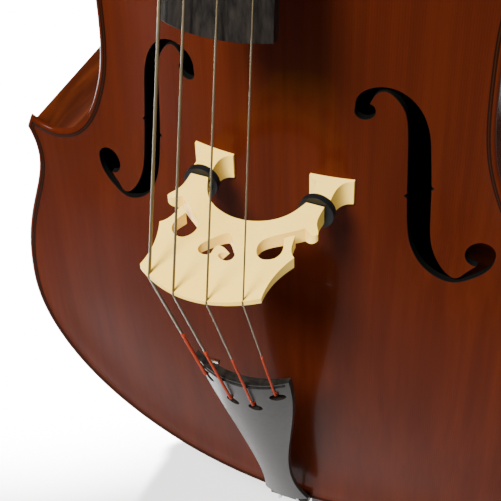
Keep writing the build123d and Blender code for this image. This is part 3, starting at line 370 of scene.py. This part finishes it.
MATERIALS = {
    "top": spruce("varnished_spruce"),
    "ribs": maple("varnished_maple_ribs", "X", 1.0, 0.0006),
    "back": maple("varnished_maple_back", "Z"),
    "neck": maple("varnished_maple_neck", "Z", 0.9, 0.0012),
    "bridge": bare_maple("bare_maple"),
    "inner": softwood("bare_softwood"),
    "ebony": ebony("ebony"),
    "wheel": metal("black_anodised", (0.007, 0.008, 0.009), 0.40, metallic=0.3, edge=0.0008, gloss=0.2),
    # Both wound finishes darken the grooves between their windings as painted shade.
    "string": wound("wound_steel", (0.15, 0.115, 0.060), 0.55, metallic=0.85),
    "silk": wound("orange_silk", (0.40, 0.034, 0.004), 0.75, 0.8, 0.0, 0.9, 0.4),
    "ball": metal("nickel_ends", (0.55, 0.53, 0.48), 0.25),
    "brass": metal("aged_brass", (0.56, 0.39, 0.16), 0.28, tarnish=(0.20, 0.13, 0.05)),
    "steel": metal("plain_steel", (0.52, 0.52, 0.53), 0.28, brushed=(400, 400, 20)),
    "rubber": rubber("black_rubber"),
    "purfling": plain("purfling_black", (0.0085, 0.0026, 0.0012), 0.3),
    # Middle strip of the purfling, darker than the plate: the inlay's own strip plus painted shade of the
    # edge channel.
    "purfling_middle_and_shade": plain("purfling_middle_and_shade", (0.024, 0.0060, 0.0022), 0.3),
    # Near-black finish for the f-holes' chamfers and walls: painted shade of the body's dark inside.
    "hole_shade": plain("painted_shade_hole_walls", (0.003, 0.003, 0.0026), 0.7),
}

# ---------------------------------------------------------------- mesh helpers
def add_object(name, data):
    ob = bpy.data.objects.new(name, data)
    bpy.context.scene.collection.objects.link(ob)
    return ob


def new_piece(name, verts, faces, material, body="bass", uvs=None):
    """Smooth mesh object from mm coordinates, riding on a body if one is given."""
    mesh = bpy.data.meshes.new(name)
    mesh.from_pydata([tuple(c * MM for c in v) for v in verts], [], [tuple(map(int, f)) for f in faces])
    if uvs is not None:
        layer = mesh.uv_layers.new(name="uv")
        flat = [c for f in mesh.polygons for i in f.vertices for c in uvs[i]]
        layer.data.foreach_set("uv", flat)
    mesh.materials.append(material)
    mesh.polygons.foreach_set("use_smooth", [True] * len(mesh.polygons))
    mesh.validate()
    ob = add_object(name, mesh)
    if body:
        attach(ob, body)
    return ob


def bezier(points, n):
    """Points along a straight line or cubic curve, at n + 1 even parameters."""
    p = np.array(points, float)
    t = np.linspace(0, 1, n + 1)[:, None]
    if len(p) == 2:
        return p[0] * (1 - t) + p[1] * t
    return p[0] * (1 - t) ** 3 + 3 * p[1] * t * (1 - t) ** 2 + 3 * p[2] * t * t * (1 - t) + p[3] * t**3


def catmull(points, step):
    """Smooth curve through points, about one point every step."""
    p = np.array(points, float)
    out = [p[0]]
    for i in range(len(p) - 1):
        a, b = p[max(i - 1, 0)], p[min(i + 2, len(p) - 1)]
        n = max(1, int(round(np.linalg.norm(p[i + 1] - p[i]) / step)))
        for t in np.linspace(0, 1, n + 1)[1:]:
            m0, m1 = (p[i + 1] - a) / 2, (b - p[i]) / 2
            t2, t3 = t * t, t * t * t
            start = (2 * t3 - 3 * t2 + 1) * p[i] + (t3 - 2 * t2 + t) * m0
            out.append(start + (3 * t2 - 2 * t3) * p[i + 1] + (t3 - t2) * m1)
    return np.array(out)


def turned(a, b):
    """Unit vector square to the way from a to b."""
    d = np.subtract(b, a)
    return np.array((-d[1], d[0])) / np.hypot(*d)


def tree_of(points):
    """Search tree of flat points."""
    tree = KDTree(len(points))
    for i, p in enumerate(points):
        tree.insert((p[0], p[1], 0), i)
    tree.balance()
    return tree


def nearest(points, wanted):
    """Index of the point closest to each wanted one."""
    tree = tree_of(points)
    return [tree.find((p[0], p[1], 0))[1] for p in wanted]


def inset_curves(d):
    """The outline's curves moved inwards by d, with mitred corners."""
    ends = [np.array((0.0, 1.0))] + [turned(c[-2], c[-1]) for c in OUTLINE]
    starts = [turned(c[0], c[1]) for c in OUTLINE] + [np.array((0.0, -1.0))]
    corners = [np.array(c[0], float) for c in OUTLINE] + [np.array(OUTLINE[-1][-1], float)]
    moved = [p + d * (a + b) / (1 + a @ b) for p, a, b in zip(corners, ends, starts)]
    curves = []
    for c, p, q in zip(OUTLINE, moved, moved[1:]):
        f = np.hypot(*(q - p)) / np.hypot(*np.subtract(c[-1], c[0]))
        handles = [p + f * np.subtract(c[1], c[0]), q + f * np.subtract(c[2], c[3])] if len(c) == 4 else []
        curves.append([p, *handles, q])
    return curves


SEGMENTS = [max(2, int(np.hypot(*np.subtract(c[-1], c[0])) / OUTLINE_STEP)) for c in OUTLINE]


def closed_loop(right):
    """Both halves of the outline from its right half, bottom middle first."""
    left = right[::-1].copy()
    left[:, 0] *= -1
    return np.vstack([right, left[:-1]])


def ring(d):
    """Closed loop of (x, height) points at d inside the outline; every ring has as many points."""
    curves = inset_curves(d)
    right = [bezier(c, n)[:-1] for c, n in zip(curves, SEGMENTS)]
    return closed_loop(np.vstack(right + [[curves[-1][-1]]]))


def meeting(a, b, reach=60):
    """Where line a, searched back from its end, crosses the start of line b: both places, and the point."""
    for i in range(len(a) - 1, max(0, len(a) - reach), -1):
        p, r = a[i - 1], a[i] - a[i - 1]
        hit = None
        for j in range(reach):
            q, s = b[j], b[j + 1] - b[j]
            cross = r[0] * s[1] - r[1] * s[0]
            if abs(cross) < 1e-12:
                continue
            w = q - p
            t, u = (w[0] * s[1] - w[1] * s[0]) / cross, (w[0] * r[1] - w[1] * r[0]) / cross
            if 0 <= t <= 1 and 0 <= u <= 1:
                hit = (i, j, p + t * r)
        if hit:
            return hit
    raise ValueError("the offset outline doesn't close")


def trimmed_ring(d):
    """Loop at d inside the outline, with each bout and each corner's end moved in by exactly d."""
    runs = []
    for start, stop in ((0, 2), (2, 3), (3, 7), (7, 8), (8, 11)):
        points = bezier(OUTLINE[start], 60)
        points = np.vstack([points] + [bezier(c, 60)[1:] for c in OUTLINE[start + 1:stop]])
        tangent = np.gradient(points, axis=0)
        tangent /= np.hypot(tangent[:, 0], tangent[:, 1])[:, None]
        moved = points + d * np.stack([-tangent[:, 1], tangent[:, 0]], 1)
        before, after = moved[0] - CORNER_REACH * tangent[0], moved[-1] + CORNER_REACH * tangent[-1]
        runs.append(np.vstack([[before], moved, [after]]))
    runs[0][0] = (0, d)
    runs[-1] = runs[-1][:-1]
    for a in range(len(runs) - 1):
        i, j, point = meeting(runs[a], runs[a + 1])
        runs[a] = np.vstack([runs[a][:i], [point]])
        runs[a + 1] = runs[a + 1][j + 1:]
    return closed_loop(np.vstack(runs))


def inside(loop, points):
    """Which of the points lie in a closed loop."""
    x, y = points[:, 0][:, None], points[:, 1][:, None]
    a, b = loop, np.roll(loop, -1, 0)
    crosses = (a[:, 1] > y) != (b[:, 1] > y)
    dy = np.where(b[:, 1] == a[:, 1], 1e-12, b[:, 1] - a[:, 1])
    at = a[:, 0] + (y - a[:, 1]) * (b[:, 0] - a[:, 0]) / dy
    return (np.sum(crosses & (x < at), 1) % 2) == 1


def fill(outer, holes, step, margin, extra=()):
    """Triangles of the region between loops, with a grid of inner points and any extra ones."""
    loops = [outer] + holes
    points = [p for loop in (*loops, *extra) for p in loop]
    edges, at = [], 0
    for loop in loops:
        n = len(loop)
        edges += [(at + i, at + (i + 1) % n) for i in range(n)]
        at += n
    if step:
        tree = tree_of(points)
        low, high = outer.min(0), outer.max(0)
        grid = np.array([(x, y) for k, y in enumerate(np.arange(low[1], high[1], step * 0.87))
                         for x in np.arange(low[0] + (k % 2) * step / 2, high[0], step)])
        keep = inside(outer, grid)
        for hole in holes:
            keep &= ~inside(hole, grid)
        points += [p for p in grid[keep] if tree.find((p[0], p[1], 0))[2] > margin]
    verts, _, faces, *_ = delaunay_2d_cdt([Vector((p[0], p[1])) for p in points], edges, [], 0, 1e-6, False)
    verts = np.array([(v.x, v.y) for v in verts])
    centres = np.array([verts[list(f)].mean(0) for f in faces])
    keep = inside(outer, centres)
    for hole in holes:
        keep &= ~inside(hole, centres)
    return verts, [f for f, k in zip(faces, keep) if k]


def eye_arc(eye, first, last, n):
    """Points round an eye of an f-hole, clockwise from one end of its outline to the other."""
    (cx, cz), r = eye
    start = math.degrees(math.atan2(first[1] - cz, first[0] - cx))
    stop = math.degrees(math.atan2(last[1] - cz, last[0] - cx)) - 360
    t = np.radians(np.linspace(start, stop, n))
    return np.stack([cx + r * np.cos(t), cz + r * np.sin(t)], 1)


def f_loop(side, grow=0.0):
    """Closed loop of the f-hole on one side (1 or -1), moved out by grow, as (x, height on the body)."""
    outer = catmull(F_OUTER, 3.0)
    inner = catmull(F_INNER, 3.0)
    upper = eye_arc(F_EYES[0], F_INNER[-1], F_OUTER[0], 16)
    lower = eye_arc(F_EYES[1], F_OUTER[-1], F_INNER[0], 22)
    loop = np.vstack([outer[1:-1], lower, inner[1:-1], upper])
    a, b = len(outer) - 2, len(outer) + len(lower) - 2
    c = b + len(inner) - 2
    cuts = [np.flatnonzero(np.abs(part[:, 1] - root[1]) < NICK_REACH)[[0, -1]]
            for part, (root, _) in ((loop[:a], F_NICKS[0]), (loop[b:c], F_NICKS[1]))]
    if grow:
        tangent = np.roll(loop, -1, 0) - np.roll(loop, 1, 0)
        tangent /= np.hypot(tangent[:, 0], tangent[:, 1])[:, None]
        loop = loop + grow * np.stack([-tangent[:, 1], tangent[:, 0]], 1)
    right = nick(loop[:a], *F_NICKS[0], *cuts[0], grow)
    left = nick(loop[b:c], *F_NICKS[1], *cuts[1], grow)
    loop = np.vstack([right, loop[a:b], left, loop[c:]])
    loop = loop + (0, BRIDGE_Z - BODY_BOTTOM)
    return loop * (side, 1) if side > 0 else (loop * (side, 1))[::-1]


def nick(line, root, tip, i, j, grow):
    """A small notch cut into the side of an f-hole, in place of its points i to j."""
    half = NICK_HALF + grow
    up = 1 if line[j, 1] > line[i, 1] else -1
    x = float(np.interp(root[1], line[::up, 1], line[::up, 0]))
    end = tip[0] + math.copysign(grow, tip[0] - root[0])
    cut = [(x, root[1] - half * up), (end, root[1]), (x, root[1] + half * up)]
    return np.vstack([line[:i], cut, line[j + 1:]])


EDGE = ring(0.0)
EDGE_TREE = tree_of(EDGE)


def plate_y(points, sign, rise, lift=0.0):
    """Depth of a plate's outer side at flat points: the arching less the channel inside the edge."""
    inset = np.array([EDGE_TREE.find((p[0], p[1], 0))[2] for p in points])
    channel = CHANNEL_DEPTH * np.exp(-(((inset - CHANNEL_AT) / CHANNEL_WIDTH) ** 2))
    return sign * (arch(points[:, 0], points[:, 1], rise) - channel + lift - TOP_EDGE_Y)


def on_body(loop, ys):
    """Points in space from flat (x, height on the body) points and their depths."""
    return [(x, y, BODY_BOTTOM + h) for (x, h), y in zip(loop, ys)]


def carved_plate(name, material, sign, rise, holes=(), button=False):
    """An arched plate with rounded edges, a slight channel inside them, and an inner side."""
    edge_y = -sign * TOP_EDGE_Y
    inner = ring(EDGE_ROUND)
    hole_loops = [f_loop(side, HOLE_CHAMFER) for side in holes]
    flat, top_faces = fill(inner, hole_loops, FINE_GRID, FINE_MARGIN, [trimmed_ring(d) for d in INLAY])
    verts = on_body(flat, plate_y(flat, sign, rise))
    faces = [tuple(f) for f in top_faces]
    walls = []

    def wall(loop, rings):
        """Bands of faces from a loop of the outer side through further rings; the last ring's ids."""
        ids = nearest(flat, loop)
        for ring_points, ys in rings:
            new = list(range(len(verts), len(verts) + len(ring_points)))
            verts.extend(on_body(ring_points, ys))
            m = len(new)
            walls.extend((ids[i], ids[(i + 1) % m], new[(i + 1) % m], new[i]) for i in range(m))
            ids = new
        return ids

    base = plate_y(inner, sign, rise)
    rings = [(ring(EDGE_ROUND * out), base - sign * EDGE_ROUND * down) for out, down in ROUND_STEPS[-2::-1]]
    inner_y = edge_y - sign * PLATE
    rings.append((EDGE, np.full(len(EDGE), inner_y + sign * INNER_BEVEL)))
    rings.append((ring(INNER_BEVEL), np.full(len(EDGE), inner_y)))
    inner_loops = [wall(inner, rings)]
    rim_faces = len(walls)
    for side, loop in zip(holes, hole_loops):
        true = f_loop(side)
        top = plate_y(loop, sign, rise)
        back = top - sign * (PLATE - HOLE_SHORT)
        inner_loops.append(wall(loop, [(true, top - sign * HOLE_CHAMFER), (true, back)]))
    # Faces of the f-holes' chamfers and walls; they take the near-black finish, painted shade of the body's
    # dark inside.
    dark = range(len(faces) + rim_faces, len(faces) + len(walls))
    faces += walls + inner_side(verts, inner_loops, sign, rise)
    if button:
        faces += button_faces(verts, edge_y, sign)
    ob = new_piece(name, verts, faces, material)
    if holes:
        ob.data.materials.append(MATERIALS["hole_shade"])
        for i in dark:
            ob.data.polygons[i].material_index = 1
    tidy_normals(ob)
    return ob


def inner_side(verts, loops, sign, rise):
    """Adds a plate's inner side, between loops of known points, to the points, and returns its faces."""
    flat_loops = [np.array([verts[i] for i in ids])[:, [0, 2]] - (0, BODY_BOTTOM) for ids in loops]
    flat, faces = fill(flat_loops[0], flat_loops[1:], INNER_GRID, INNER_MARGIN)
    ids = [None] * len(flat)
    for known, loop in zip(loops, flat_loops):
        for i, at in zip(known, nearest(flat, loop)):
            ids[at] = i
    ys = sign * (arch(flat[:, 0], flat[:, 1], rise) - PLATE - TOP_EDGE_Y)
    for k, point in enumerate(on_body(flat, ys)):
        if ids[k] is None:
            ids[k] = len(verts)
            verts.append(point)
    return [tuple(ids[i] for i in f) for f in faces]


def button_faces(verts, edge_y, sign):
    """Adds the plate's rounded tab over the neck's heel to the points, and returns its faces."""
    top = BODY_BOTTOM + BODY_LENGTH
    middle = np.array((0.0, top + BUTTON_RISE / 2))
    angles = np.linspace(0, math.pi, 33)
    round_end = [(BUTTON_R * math.cos(a), top + BUTTON_RISE + BUTTON_R * math.sin(a)) for a in angles]
    shape = [(BUTTON_R, top - BUTTON_ROOT), *round_end, (-BUTTON_R, top - BUTTON_ROOT)]
    loops = []
    for inset, depth in BUTTON_STEPS:
        loops.append(list(range(len(verts), len(verts) + len(shape))))
        for p in shape:
            away = np.array(p) - middle
            x, z = middle + away * (1 - inset / np.hypot(*away))
            verts.append((x, edge_y - sign * depth, z))
    n = len(shape)
    faces = [tuple(loops[0]), tuple(loops[-1])]
    for a, b in zip(loops, loops[1:]):
        faces += [(a[i], a[(i + 1) % n], b[(i + 1) % n], b[i]) for i in range(n)]
    return faces


# ---------------------------------------------------------------- strings
def rounded(points, bend):
    """Points of a path whose corners are arcs, and the place of each corner in it."""
    p = [np.array(v, float) for v in points]
    out, corners = [p[0]], []
    for a, b, c in zip(p, p[1:], p[2:]):
        u, v = (a - b) / np.linalg.norm(a - b), (c - b) / np.linalg.norm(c - b)
        half = math.acos(float(np.clip(u @ v, -1, 1))) / 2
        reach = min(bend / math.tan(half), 0.45 * np.linalg.norm(a - b), 0.45 * np.linalg.norm(c - b))
        start, stop = b + reach * u, b + reach * v
        for t in (0, 0.25, 0.5, 0.75, 1):
            out.append((1 - t) ** 2 * start + 2 * t * (1 - t) * b + t * t * stop)
        corners.append(len(out) - 3)
    return np.array(out + [p[-1]]), corners


def finely(path, step):
    """The path with long spans cut into steps, and the new place of each old point."""
    out, places = [path[0]], [0]
    for a, b in zip(path, path[1:]):
        n = max(1, int(np.linalg.norm(b - a) / step))
        out += [a + (b - a) * k / n for k in range(1, n + 1)]
        places.append(len(out) - 1)
    return np.array(out), places


def tube_rings(path, radius, sides=12):
    """Rings round a path without twist, with the length along it."""
    ahead = np.gradient(path, axis=0)
    ahead /= np.linalg.norm(ahead, axis=1)[:, None]
    across = np.cross(ahead[0], (0.3, 0.2, 1.0))
    rings = []
    for p, d in zip(path, ahead):
        across = across - (across @ d) * d
        across /= np.linalg.norm(across)
        other = np.cross(d, across)
        angles = 2 * math.pi * np.arange(sides) / sides
        rings.append(p + radius * (np.outer(np.cos(angles), across) + np.outer(np.sin(angles), other)))
    lengths = np.concatenate([[0], np.cumsum(np.linalg.norm(np.diff(path, axis=0), axis=1))])
    return np.array(rings), lengths


def tube(name, rings, lengths, material):
    """Closed tube through rings, on no body, with the length along it in its UV map."""
    n, sides = rings.shape[:2]
    verts = [tuple(v) for ring in rings for v in ring]
    uvs = [(k / sides, length) for length in lengths for k in range(sides)]
    faces = []
    for start in range(0, (n - 1) * sides, sides):
        for k in range(sides):
            a, b = start + k, start + (k + 1) % sides
            faces.append((a, b, b + sides, a + sides))
    faces += [tuple(range(sides))[::-1], tuple((n - 1) * sides + k for k in range(sides))]
    return new_piece(name, verts, faces, material, None, uvs)


def at_bridge(x, h, z):
    return np.array((x, BRIDGE_Y - h, BRIDGE_Z + z))


def after_point(name, z):
    """Point of a string between the bridge and the tailpiece."""
    x0, h0, z0 = NOTCHES[name]
    t = (z - z0) / (TAIL_Z - z0)
    return at_bridge(x0 + t * (TAIL_X[name] - x0), h0 + t * (TAIL_H[name] - h0), z)


def string_points(name):
    """From the silk over the bridge and nut to the turns on the roller."""
    x, radius = NUT_SPACING * (STRINGS.index(name) - 1.5), RADII[name]
    drop = NUT_R - math.sqrt(NUT_R**2 - x * x)
    at_nut = NUT_POINT - ALONG + OUTWARD * (NUT_LIFT - drop) + (x, 0, 0)
    off_nut = NUT_POINT - 7 * ALONG + OUTWARD * (NUT_LIFT - 1 - drop) + (x, 0, 0)
    points = [after_point(name, SILK_START[name]), at_bridge(*NOTCHES[name]), at_nut, off_nut]
    reach = (ROLLER_R + radius + WIND_GAP) / math.cos(math.radians(WIND_STEP / 2))
    side = 1 if COIL_X[name] > 0 else -1
    for i in range(WIND_STEPS):
        a = math.radians(WIND_FROM + WIND_STEP * i)
        x = COIL_X[name] + side * i * WIND_PITCH * radius * WIND_STEP / 360
        depth, up = ROLLER_DEPTH - reach * math.cos(a), ROLLERS[name] + reach * math.sin(a)
        points.append(NUT_POINT - 8 * ALONG + depth * PEGBOX_IN + up * PEGBOX_UP + (x, 0, 0))
    return points


def add_strings():
    """Each string in two tubes that meet at the bridge."""
    for name in STRINGS:
        points = string_points(name)
        path, corners = rounded(points, STRING_BEND)
        path, places = finely(path, 12.0)
        notch = places[corners[0]]
        rings, lengths = tube_rings(path, RADII[name])
        steel = MATERIALS["string"]
        speaking = tube(f"string_{name}_speaking", rings[notch:], lengths[notch:], steel)
        after = tube(f"string_{name}_after", rings[:notch + 1], lengths[:notch + 1], steel)
        bend = after_point(name, TAIL_BEND[name])
        silk_path, _ = rounded([points[0], bend, bend + SILK_TAIL], STRING_BEND)
        silk_path, _ = finely(silk_path, 6.0)
        silk = tube(f"silk_{name}_thread", *tube_rings(silk_path, RADII[name] + SILK_T), MATERIALS["silk"])
        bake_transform(speaking)
        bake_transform(after)
        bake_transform(silk)
        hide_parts(f"string_{name}")
        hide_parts(f"silk_{name}")


def tidy_normals(ob):
    """Outward faces, with sharp edges at steep folds and where the finish changes."""
    bm = bmesh.new()
    bm.from_mesh(ob.data)
    bmesh.ops.recalc_face_normals(bm, faces=bm.faces)
    for e in bm.edges:
        one_finish = len({f.material_index for f in e.link_faces}) == 1
        e.smooth = one_finish and (len(e.link_faces) != 2 or e.calc_face_angle(0) < SHARP_ANGLE)
    bm.to_mesh(ob.data)
    bm.free()


def purfling(name, sign, rise, d0, d1, material):
    """Thin inlaid strip that follows the plate's edge between two insets."""
    flat, faces = fill(trimmed_ring(d0), [trimmed_ring(d1)], 0, 0)
    ob = new_piece(name, on_body(flat, plate_y(flat, sign, rise, INLAY_LIFT)), faces, material)
    bm = bmesh.new()
    bm.from_mesh(ob.data)
    bmesh.ops.recalc_face_normals(bm, faces=bm.faces)
    if sum(f.normal.y * f.calc_area() for f in bm.faces) * sign < 0:
        bmesh.ops.reverse_faces(bm, faces=bm.faces)
    bm.to_mesh(ob.data)
    bm.free()
    return ob


# ---------------------------------------------------------------- the looks
PAINTED = {
    "ribs": [f"rib_{bout}_{side}" for bout in ("lower", "middle", "upper") for side in ("left", "right")],
    "neck": ["neck"],
    "inner": ["linings_front", "linings_back", "corner_blocks", "upper_block", "lower_block", "bass_bar",
              "sound_post"],
    "ebony": ["fingerboard", "nut", "saddle", "tailpiece", "tailpiece_fret", "endpin_plug"],
    "steel": ["tail_wire", "endpin_collar", "endpin_rod"],
    "brass": ["plate_screws", "endpin_thumb_screw"]
             + [f"{kind}_{s}" for kind in ("machine_plate", "worm_key", "barrel") for s in STRINGS],
    "rubber": ["endpin_ferrule"],
    "bridge": ["bridge", "bridge_foot_left", "bridge_foot_right"],
    "wheel": ["adjuster_left", "adjuster_right"],
    "ball": [f"ball_end_{s}" for s in STRINGS],
}
for material_name, node_names in PAINTED.items():
    for node_name in node_names:
        node_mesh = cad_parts[node_name].data
        node_mesh.materials.clear()
        node_mesh.materials.append(MATERIALS[material_name])

front_plate = carved_plate("top_carved", MATERIALS["top"], -1, TOP_RISE, holes=(1, -1))
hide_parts("top_plate")
back_plate = carved_plate("back_carved", MATERIALS["back"], 1, BACK_RISE, button=True)
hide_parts("back_plate")
for side, sign, rise in (("top", -1, TOP_RISE), ("back", 1, BACK_RISE)):
    # Black outer strips are the inlay's own colour; the middle strip's finish adds painted shade of the
    # channel.
    for k, finish in enumerate(("purfling", "purfling_middle_and_shade", "purfling")):
        strip = purfling(f"purfling_{side}_{k}", sign, rise, INLAY[k], INLAY[k + 1], MATERIALS[finish])
add_strings()


# ---------------------------------------------------------------- camera, floor and light, in metres
CAMERA_AT, CAMERA_AIM = Vector((0.3428, -0.9328, 1.4144)), Vector((0.0041, -0.2018, 0.6516))
CAMERA_ROLL, CAMERA_LENS = -0.04253, 88.84
FLOOR_HALF = 12
KEY_AT, KEY_AIM = Vector((-0.6, -2.6, 3.85)), Vector((0, -0.1, 0.65))
KEY_SIZE, KEY_POWER, KEY_SPREAD = 1.5, 41, math.radians(40)
WASH_AT, WASH_RADIUS, WASH_POWER = Vector((-0.92, 0.82, 3.0)), 1.12, 6500
SKY = 0.3


def camera():
    ahead = (CAMERA_AIM - CAMERA_AT).normalized()
    right = ahead.cross(Vector((0, 0, 1))).normalized()
    up = right.cross(ahead)
    cos, sin = math.cos(CAMERA_ROLL), math.sin(CAMERA_ROLL)
    axes = Matrix((cos * right + sin * up, cos * up - sin * right, -ahead)).transposed()
    data = bpy.data.cameras.new("camera")
    data.lens, data.sensor_width, data.clip_start, data.clip_end = CAMERA_LENS, 36.0, 0.05, 60.0
    ob = add_object("camera", data)
    ob.matrix_world = Matrix.Translation(CAMERA_AT) @ axes.to_4x4()
    bpy.context.scene.camera = ob


def floor():
    h = FLOOR_HALF
    mesh = bpy.data.meshes.new("floor")
    mesh.from_pydata([(-h, -h, 0), (h, -h, 0), (h, h, 0), (-h, h, 0)], [], [(0, 1, 2, 3)])
    g = Graph("floor")
    g.put(Base_Color=(0.9, 0.9, 0.9, 1), Roughness=0.8, Specular_IOR_Level=0.1)
    mesh.materials.append(g.material)
    add_object("floor", mesh)


def lights():
    """Soft key light from the front, a bright floor behind the body, and a dim even sky."""
    world = bpy.data.worlds.new("studio")
    world.use_nodes = True
    background = world.node_tree.nodes["Background"]
    background.inputs["Color"].default_value = (1, 1, 1, 1)
    background.inputs["Strength"].default_value = SKY
    bpy.context.scene.world = world
    key = bpy.data.lights.new("key", "AREA")
    key.shape, key.size, key.energy, key.spread = "DISK", KEY_SIZE, KEY_POWER, KEY_SPREAD
    ob = add_object("key", key)
    ob.location = KEY_AT
    ob.rotation_euler = (KEY_AIM - KEY_AT).to_track_quat("-Z", "Y").to_euler()
    wash = bpy.data.lights.new("floor_wash", "SPOT")
    wash.energy, wash.spot_size = WASH_POWER, 2 * math.atan(WASH_RADIUS / WASH_AT.z)
    wash.spot_blend, wash.shadow_soft_size = 0.12, 0.08
    add_object("floor_wash", wash).location = WASH_AT


camera()
floor()
lights()
